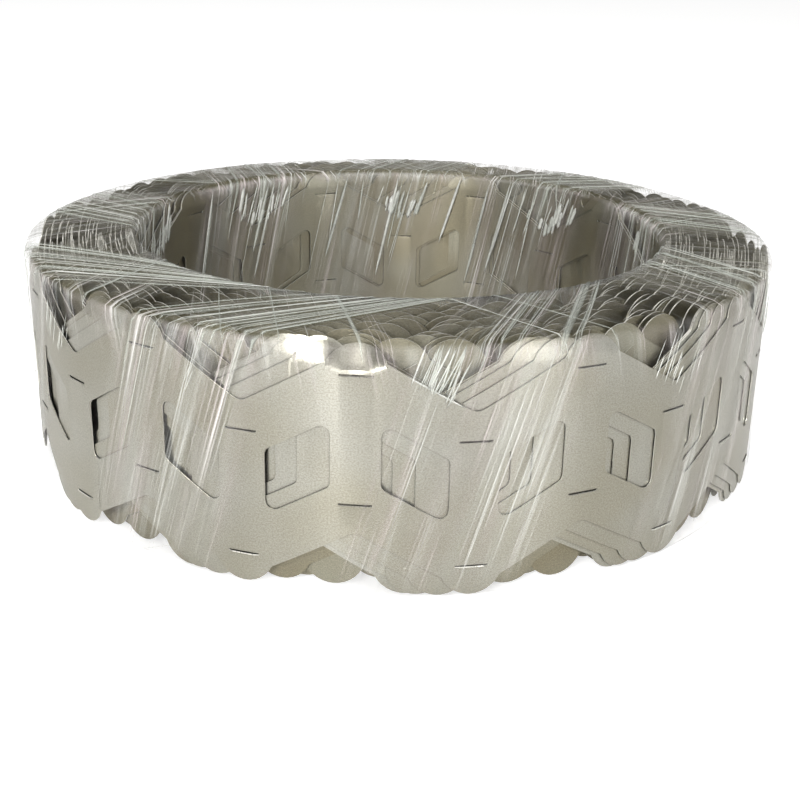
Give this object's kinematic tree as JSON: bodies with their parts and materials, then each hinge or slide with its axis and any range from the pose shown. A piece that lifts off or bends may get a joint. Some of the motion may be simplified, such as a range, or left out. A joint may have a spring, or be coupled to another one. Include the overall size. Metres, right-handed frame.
{
  "type": "nickel strip coil",
  "caption": "Ring-shaped coil of punched zigzag nickel strip for joining staggered round battery cells, bound through its bore with clear stretch film.",
  "frame": {"origin": "centre of the coil's outer wall, on the plane that the film rests on", "axes": "+Z along the coil's axis, upwards; -Y is the front, on the side where the wound wall is thickest"},
  "size_m": [0.1254, 0.1254, 0.038],
  "materials": {
    "satin_nickel": "rolled satin nickel, warm grey",
    "clear_film": "clear glossy film with white stretch lines"
  },
  "bodies": {
    "root": {"nickel_strip_coil": "satin_nickel", "stretch_film": "clear_film"}
  },
  "joints": []
}
